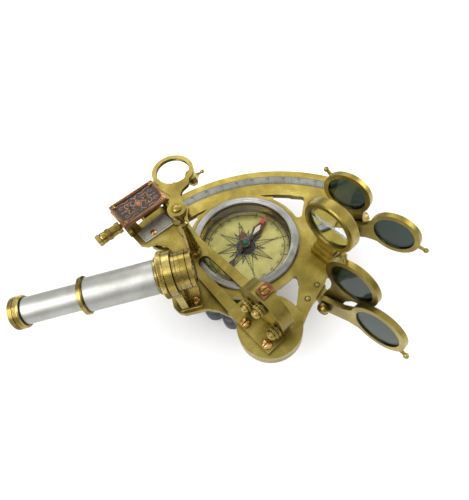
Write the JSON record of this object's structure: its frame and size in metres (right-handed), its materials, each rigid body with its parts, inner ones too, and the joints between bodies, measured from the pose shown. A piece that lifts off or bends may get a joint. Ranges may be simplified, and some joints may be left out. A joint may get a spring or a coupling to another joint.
{
  "type": "nautical sextant",
  "caption": "Brass sextant with sighting telescope, index arm, graduated limb, swinging shade glasses, mirrors, magnifier and a compass set into the frame, on feet and a hand grip.",
  "frame": {"origin": "bottom centre of the bounding box, on the plane of the feet", "axes": "+X along the line of sight from eyepiece to horizon glass, +Y from the index pivot towards the limb, +Z out of the face"},
  "size_m": [0.2503, 0.1885, 0.1152],
  "materials": {
    "brass": "satin brushed, lacquered",
    "warm_brass": "bright turned screw heads",
    "nickel": "satin nickel plate",
    "copper": "satin copper",
    "dial": "satin, etched and black filled",
    "black_grip": "semi-gloss black, moulded",
    "needle": "black paint, red tip",
    "clear_glass": "polished",
    "shade_glass": "polished dark neutral glass",
    "mirror": "silvered"
  },
  "bodies": {
    "frame": {"frame_plate": "brass", "scale_arc": "nickel", "compass_bowl": "nickel", "compass_bezel": "nickel", "compass_dial": "dial", "compass_glass": "clear_glass", "compass_pivot": "brass", "compass_back_plate": "dial", "feet": "brass", "collar_bracket": "brass", "flange_ring": "brass", "main_tube": "nickel", "tube_end_ring": "brass", "objective_cell": "brass", "objective_lens": "clear_glass", "horizon_base": "brass", "horizon_ring": "brass", "horizon_glass": "clear_glass", "horizon_mirror": "mirror", "upper_shade_bracket": "brass", "lower_shade_bracket": "brass", "shade_pivot_pins": "brass", "frame_screws": "warm_brass", "handle_grip": "black_grip", "handle_posts": "brass", "handle_plate": "copper", "pivot_cap": "copper", "pivot_pin": "brass"},
    "index_arm": {"index_arm": "brass", "vernier_plate": "nickel", "arm_tab": "brass", "arm_screws": "warm_brass", "micrometer_yoke": "brass", "plate_bridge": "brass", "name_plate": "copper", "magnifier_post": "brass", "mirror_holder": "brass", "index_mirror": "mirror", "mirror_clip": "copper", "mirror_screws": "warm_brass"},
    "mirror_adjuster_top": {"mirror_adjuster_top": "brass"},
    "mirror_adjuster_near": {"mirror_adjuster_near": "brass"},
    "mirror_adjuster_far": {"mirror_adjuster_far": "brass"},
    "tangent_screw": {"tangent_screw": "brass"},
    "clamp_block": {"clamp_block": "brass"},
    "clamp_screw": {"clamp_screw": "brass"},
    "magnifier": {"magnifier_frame": "brass", "magnifier_lens": "clear_glass"},
    "draw_tube": {"draw_tube": "nickel", "eyepiece_ring": "brass", "eyepiece_lens": "clear_glass"},
    "compass_needle": {"compass_needle": "needle"},
    "shade_1": {"shade_frame_1": "brass", "shade_glass_1": "shade_glass"},
    "shade_2": {"shade_frame_2": "brass", "shade_glass_2": "shade_glass"},
    "shade_3": {"shade_frame_3": "brass", "shade_glass_3": "shade_glass"},
    "shade_4": {"shade_frame_4": "brass", "shade_glass_4": "shade_glass"}
  },
  "joints": [
    {"name": "index_arm_swing", "type": "hinge", "parent": "frame", "child": "index_arm", "pos_m": [0.0185, -0.0531, 0.052], "axis": [0, 0, 1], "range_deg": [-58, 1]},
    {"name": "tangent_screw_turn", "type": "hinge", "parent": "index_arm", "child": "tangent_screw", "pos_m": [-0.04819, 0.06771, 0.0505], "axis": [0.898, 0.4399, 0], "range_deg": [-1080, 1080]},
    {"name": "clamp_block_slide", "type": "slide", "parent": "index_arm", "child": "clamp_block", "axis": [0.898, 0.4399, 0], "range_m": [-0.0021, 0.0021]},
    {"name": "clamp_screw_turn", "type": "hinge", "parent": "clamp_block", "child": "clamp_screw", "pos_m": [-0.0496, 0.07059, 0.04], "axis": [0, 0, -1], "range_deg": [-540, 45]},
    {"name": "magnifier_swing", "type": "hinge", "parent": "index_arm", "child": "magnifier", "pos_m": [-0.0175, 0.01212, 0.106], "axis": [0, 0, 1], "range_deg": [-60, 60]},
    {"name": "draw_tube_slide", "type": "slide", "parent": "frame", "child": "draw_tube", "axis": [1, 0, 0], "range_m": [-0.002, 0.03]},
    {"name": "compass_needle_turn", "type": "hinge", "parent": "frame", "child": "compass_needle", "pos_m": [0.0185, 0.0146, 0.047], "axis": [0, 0, 1], "continuous": true},
    {"name": "shade_1_swing", "type": "hinge", "parent": "frame", "child": "shade_1", "pos_m": [0.0955, -0.0006, 0.0575], "axis": [-0.7604, -0.6494, 0], "range_deg": [-143, 12]},
    {"name": "shade_2_swing", "type": "hinge", "parent": "frame", "child": "shade_2", "pos_m": [0.0955, -0.0006, 0.0575], "axis": [-0.7604, -0.6494, 0], "range_deg": [-58, 97]},
    {"name": "shade_3_swing", "type": "hinge", "parent": "frame", "child": "shade_3", "pos_m": [0.0584, -0.0483, 0.0575], "axis": [-0.8434, -0.5373, 0], "range_deg": [-103, 52]},
    {"name": "shade_4_swing", "type": "hinge", "parent": "frame", "child": "shade_4", "pos_m": [0.0584, -0.0483, 0.0575], "axis": [-0.8434, -0.5373, 0], "range_deg": [-58, 97]},
    {"name": "mirror_adjuster_top_turn", "type": "hinge", "parent": "index_arm", "child": "mirror_adjuster_top", "pos_m": [0.01423, -0.05157, 0.0815], "axis": [-0.8755, -0.4833, 0], "range_deg": [-360, 360]},
    {"name": "mirror_adjuster_near_turn", "type": "hinge", "parent": "index_arm", "child": "mirror_adjuster_near", "pos_m": [0.01974, -0.06155, 0.069], "axis": [-0.8755, -0.4833, 0], "range_deg": [-360, 360]},
    {"name": "mirror_adjuster_far_turn", "type": "hinge", "parent": "index_arm", "child": "mirror_adjuster_far", "pos_m": [0.00887, -0.04186, 0.07], "axis": [-0.8755, -0.4833, 0], "range_deg": [-360, 360]}
  ],
  "couplings": [
    {"joint": "tangent_screw_turn", "follows": "clamp_block_slide", "rad_per_m": 8976}
  ]
}
